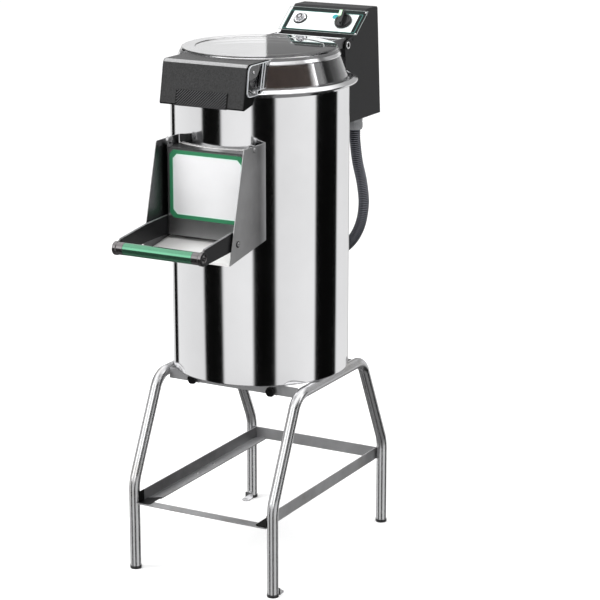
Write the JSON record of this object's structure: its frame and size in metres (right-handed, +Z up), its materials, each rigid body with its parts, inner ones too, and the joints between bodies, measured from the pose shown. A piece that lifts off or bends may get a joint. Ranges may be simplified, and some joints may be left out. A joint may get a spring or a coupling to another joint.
{
  "type": "electric potato peeler",
  "caption": "Floor-standing electric peeler: steel drum on a bent-tube stand, clear hinged lid, discharge door with handle, chute and a control box with timer dial.",
  "frame": {"origin": "on the floor, at the middle of the machine's footprint in plan", "axes": "+Z up; -Y to the front, where the discharge door and its handle are; +Y to the control box; +X to the right seen from the door"},
  "size_m": [0.4368, 0.8526, 1.223],
  "materials": {
    "stand_steel": "satin",
    "polished_steel": "polished",
    "sheet_steel": "satin",
    "cast_metal": "cast",
    "black_plastic": "matte",
    "black_coat": "matt powder coat",
    "grip_rubber": "ribbed",
    "seal_rubber": "matte",
    "clear_plastic": "clear",
    "abrasive": "rough grit",
    "green_paint": "gloss",
    "green_label": "printed",
    "white_label": "printed",
    "panel_dark": "printed",
    "grey_plastic": "matte",
    "conduit_plastic": "satin",
    "button_metal": "satin"
  },
  "bodies": {
    "machine": {"stand_frame_left": "stand_steel", "stand_frame_right": "stand_steel", "foot_cap_front_left": "black_plastic", "foot_cap_front_right": "black_plastic", "foot_cap_rear_left": "black_plastic", "foot_cap_rear_right": "black_plastic", "cross_strip_front": "stand_steel", "cross_strip_rear": "stand_steel", "shelf_rail_left": "stand_steel", "shelf_rail_right": "stand_steel", "shelf_bar_front": "stand_steel", "shelf_bar_rear": "stand_steel", "base_plate": "sheet_steel", "drum_shell": "polished_steel", "drum_rim": "polished_steel", "chamber_floor": "sheet_steel", "chamber_liner": "abrasive", "bearing_housing": "cast_metal", "drive_belt": "seal_rubber", "motor": "cast_metal", "motor_plate": "sheet_steel", "drain_pipe": "sheet_steel", "water_inlet": "sheet_steel", "discharge_collar": "sheet_steel", "chute_cheek_left": "sheet_steel", "chute_cheek_right": "sheet_steel", "chute_floor": "sheet_steel", "lid_hinge_pin": "polished_steel", "box_shell": "black_coat", "box_back_cover": "black_coat", "box_bracket": "sheet_steel", "panel_frame": "panel_dark", "panel_field": "white_label", "button_bezel": "polished_steel", "timer_body": "black_plastic", "conduit_gland_upper": "grey_plastic", "conduit_gland_lower": "grey_plastic", "conduit": "conduit_plastic"},
    "lid": {"lid": "clear_plastic", "lid_handle": "black_coat", "lid_grip_pad": "grip_rubber", "lid_hinge_bracket": "polished_steel", "lid_hinge_seal": "seal_rubber"},
    "discharge_door": {"discharge_door": "sheet_steel", "door_label_frame": "green_label", "door_label_field": "white_label", "door_gasket": "seal_rubber", "door_arm_left": "black_plastic", "door_arm_right": "black_plastic", "door_handle": "green_paint"},
    "peeling_disc": {"abrasive_disc": "abrasive", "spindle": "cast_metal", "driven_pulley": "cast_metal"},
    "motor_drive": {"motor_pulley": "cast_metal"},
    "start_button": {"start_button": "button_metal"},
    "timer_dial": {"timer_dial": "black_plastic"},
    "thumb_knob_front_left": {"thumb_knob_front_left": "black_plastic"},
    "thumb_knob_front_right": {"thumb_knob_front_right": "black_plastic"},
    "thumb_knob_rear_left": {"thumb_knob_rear_left": "black_plastic"},
    "thumb_knob_rear_right": {"thumb_knob_rear_right": "black_plastic"}
  },
  "joints": [
    {"name": "lid_hinge", "type": "hinge", "parent": "machine", "child": "lid", "pos_m": [0, 0.25725, 1.15], "axis": [-1, 0, 0], "range_deg": [0, 78]},
    {"name": "door_hinge", "type": "hinge", "parent": "machine", "child": "discharge_door", "pos_m": [0, -0.20075, 0.9865], "axis": [-1, 0, 0], "range_deg": [0, 70]},
    {"name": "disc_spin", "type": "hinge", "parent": "machine", "child": "peeling_disc", "pos_m": [0, 0.01625, 0.75], "axis": [0, 0, 1], "continuous": true},
    {"name": "motor_spin", "type": "hinge", "parent": "machine", "child": "motor_drive", "pos_m": [0, 0.14825, 0.63], "axis": [0, 0, 1], "continuous": true},
    {"name": "button_push", "type": "slide", "parent": "machine", "child": "start_button", "axis": [0, 0.6177, -0.7864], "range_m": [0, 0.003], "stiffness_N_per_m": 400, "springref_m": -0.001},
    {"name": "timer_turn", "type": "hinge", "parent": "machine", "child": "timer_dial", "pos_m": [0.054, 0.31472, 1.19273], "axis": [0, -0.6177, 0.7864], "range_deg": [-300, 0]},
    {"name": "thumb_knob_front_left_turn", "type": "hinge", "parent": "machine", "child": "thumb_knob_front_left", "pos_m": [-0.1014, -0.11375, 0.4255], "axis": [0, 1, 0], "continuous": true},
    {"name": "thumb_knob_front_right_turn", "type": "hinge", "parent": "machine", "child": "thumb_knob_front_right", "pos_m": [0.1014, -0.11375, 0.4255], "axis": [0, 1, 0], "continuous": true},
    {"name": "thumb_knob_rear_left_turn", "type": "hinge", "parent": "machine", "child": "thumb_knob_rear_left", "pos_m": [-0.1014, 0.14625, 0.4255], "axis": [0, 1, 0], "continuous": true},
    {"name": "thumb_knob_rear_right_turn", "type": "hinge", "parent": "machine", "child": "thumb_knob_rear_right", "pos_m": [0.1014, 0.14625, 0.4255], "axis": [0, 1, 0], "continuous": true}
  ],
  "couplings": [
    {"joint": "motor_spin", "follows": "disc_spin", "ratio": 3}
  ]
}
